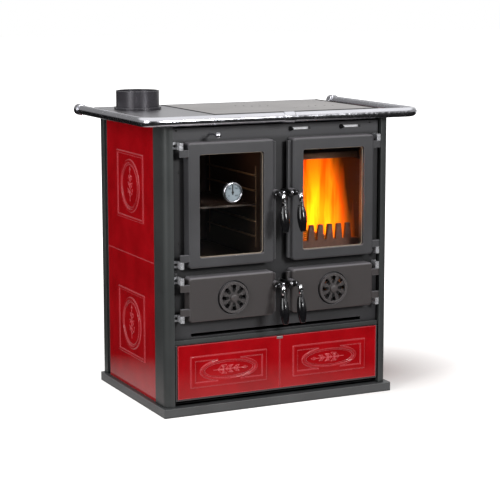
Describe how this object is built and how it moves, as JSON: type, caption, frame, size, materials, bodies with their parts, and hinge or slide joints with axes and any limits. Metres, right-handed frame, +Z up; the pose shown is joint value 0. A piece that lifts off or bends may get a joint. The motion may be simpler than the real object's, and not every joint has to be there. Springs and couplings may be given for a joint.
{
  "type": "cast iron range cooker",
  "caption": "Wood-fired cast iron range cooker: glazed oven and firebox doors, ash and soot doors, tiled sides, wood drawer, towel rail and top flue collar.",
  "frame": {"origin": "centre of the plinth's underside, on the floor", "axes": "+Z up; the front faces -Y; +X is the viewer's right"},
  "size_m": [0.906, 0.6066, 0.915],
  "materials": {
    "plinth_paint": "satin",
    "cast_grey": "matt stove paint",
    "post_paint": "satin stove paint",
    "red_glaze": "gloss glaze",
    "plate_steel": "ground",
    "worktop_steel": "satin",
    "chrome": "polished",
    "grip_black": "gloss",
    "clear_glass": "clear",
    "rope_grey": "woven",
    "sheet_black": "matt",
    "oven_enamel": "enamel",
    "fire_brick": "matt",
    "dial_white": "satin"
  },
  "bodies": {
    "cooker": {"plinth": "plinth_paint", "base_plate": "sheet_black", "post_front_left": "post_paint", "post_front_right": "post_paint", "post_rear_left": "post_paint", "post_rear_right": "post_paint", "side_sheets": "sheet_black", "back_panel": "sheet_black", "tile_left_lower": "red_glaze", "tile_left_upper": "red_glaze", "tile_right_lower": "red_glaze", "tile_right_upper": "red_glaze", "worktop": "worktop_steel", "hotplate": "plate_steel", "flue_collar": "post_paint", "rail": "chrome", "rail_fittings": "chrome", "facade": "cast_grey", "drawer_bar": "post_paint", "hinge_brackets": "chrome", "keepers": "chrome", "oven_box": "oven_enamel", "oven_ladders": "oven_enamel", "firebox_shell": "sheet_black", "fire_bricks": "fire_brick", "smoke_baffle": "fire_brick", "fire_grate": "sheet_black", "log_guard": "sheet_black"},
    "lid": {"hotplate_lid": "plate_steel"},
    "oven_door": {"door_upper_left": "cast_grey", "glass_left": "clear_glass", "glass_clips_left": "sheet_black", "door_rope_left": "rope_grey", "thermometer_case": "dial_white"},
    "fire_door": {"door_upper_right": "cast_grey", "glass_right": "clear_glass", "glass_clips_right": "sheet_black", "door_rope_right": "rope_grey"},
    "soot_door": {"door_lower_left": "cast_grey"},
    "ash_door": {"door_lower_right": "cast_grey"},
    "oven_latch": {"latch_upper_left": "chrome", "grip_upper_left": "grip_black"},
    "fire_latch": {"latch_upper_right": "chrome", "grip_upper_right": "grip_black"},
    "soot_latch": {"latch_lower_left": "chrome", "grip_lower_left": "grip_black"},
    "ash_latch": {"latch_lower_right": "chrome", "grip_lower_right": "grip_black"},
    "soot_register": {"air_register_left": "cast_grey"},
    "ash_register": {"air_register_right": "cast_grey"},
    "slider_left": {"air_slider_left": "chrome"},
    "slider_right": {"air_slider_right": "chrome"},
    "damper": {"damper_rod": "chrome", "damper_plate": "sheet_black"},
    "tray": {"oven_tray": "oven_enamel"},
    "pan": {"ash_pan": "sheet_black"},
    "drawer": {"drawer_front": "cast_grey", "drawer_tiles": "red_glaze", "drawer_box": "sheet_black"},
    "needle": {"thermometer_needle": "sheet_black"}
  },
  "joints": [
    {"name": "oven_door_hinge", "type": "hinge", "parent": "cooker", "child": "oven_door", "pos_m": [-0.3193, -0.2625, 0.6115], "axis": [0, 0, -1], "range_deg": [0, 110]},
    {"name": "fire_door_hinge", "type": "hinge", "parent": "cooker", "child": "fire_door", "pos_m": [0.3193, -0.2625, 0.6115], "axis": [0, 0, 1], "range_deg": [0, 110]},
    {"name": "soot_door_hinge", "type": "hinge", "parent": "cooker", "child": "soot_door", "pos_m": [-0.3193, -0.2625, 0.341], "axis": [0, 0, -1], "range_deg": [0, 110]},
    {"name": "ash_door_hinge", "type": "hinge", "parent": "cooker", "child": "ash_door", "pos_m": [0.3193, -0.2625, 0.341], "axis": [0, 0, 1], "range_deg": [0, 110]},
    {"name": "oven_latch_turn", "type": "hinge", "parent": "oven_door", "child": "oven_latch", "pos_m": [-0.028, -0.284, 0.638], "axis": [0, 1, 0], "range_deg": [0, 40]},
    {"name": "fire_latch_turn", "type": "hinge", "parent": "fire_door", "child": "fire_latch", "pos_m": [0.028, -0.284, 0.638], "axis": [0, -1, 0], "range_deg": [0, 40]},
    {"name": "soot_latch_turn", "type": "hinge", "parent": "soot_door", "child": "soot_latch", "pos_m": [-0.028, -0.284, 0.37], "axis": [0, 1, 0], "range_deg": [0, 40]},
    {"name": "ash_latch_turn", "type": "hinge", "parent": "ash_door", "child": "ash_latch", "pos_m": [0.028, -0.284, 0.37], "axis": [0, -1, 0], "range_deg": [0, 40]},
    {"name": "soot_register_turn", "type": "hinge", "parent": "soot_door", "child": "soot_register", "pos_m": [-0.163, -0.275, 0.34], "axis": [0, -1, 0], "range_deg": [0, 22.5]},
    {"name": "ash_register_turn", "type": "hinge", "parent": "ash_door", "child": "ash_register", "pos_m": [0.163, -0.275, 0.34], "axis": [0, -1, 0], "range_deg": [0, 22.5]},
    {"name": "slider_left_slide", "type": "slide", "parent": "cooker", "child": "slider_left", "axis": [1, 0, 0], "range_m": [0, 0.05]},
    {"name": "slider_right_slide", "type": "slide", "parent": "cooker", "child": "slider_right", "axis": [1, 0, 0], "range_m": [0, 0.05]},
    {"name": "damper_push", "type": "slide", "parent": "cooker", "child": "damper", "axis": [0, 1, 0], "range_m": [0, 0.045]},
    {"name": "oven_tray_slide", "type": "slide", "parent": "cooker", "child": "tray", "axis": [0, -1, 0], "range_m": [0, 0.02]},
    {"name": "ash_pan_slide", "type": "slide", "parent": "cooker", "child": "pan", "axis": [0, -1, 0], "range_m": [0, 0.02]},
    {"name": "drawer_slide", "type": "slide", "parent": "cooker", "child": "drawer", "axis": [0, -1, 0], "range_m": [0, 0.33]},
    {"name": "lid_lift", "type": "slide", "parent": "cooker", "child": "lid", "axis": [0, 0, 1], "range_m": [0, 0.06]},
    {"name": "needle_turn", "type": "hinge", "parent": "oven_door", "child": "needle", "pos_m": [-0.16, -0.262, 0.643], "axis": [0, 1, 0], "range_deg": [-130, 130]}
  ]
}
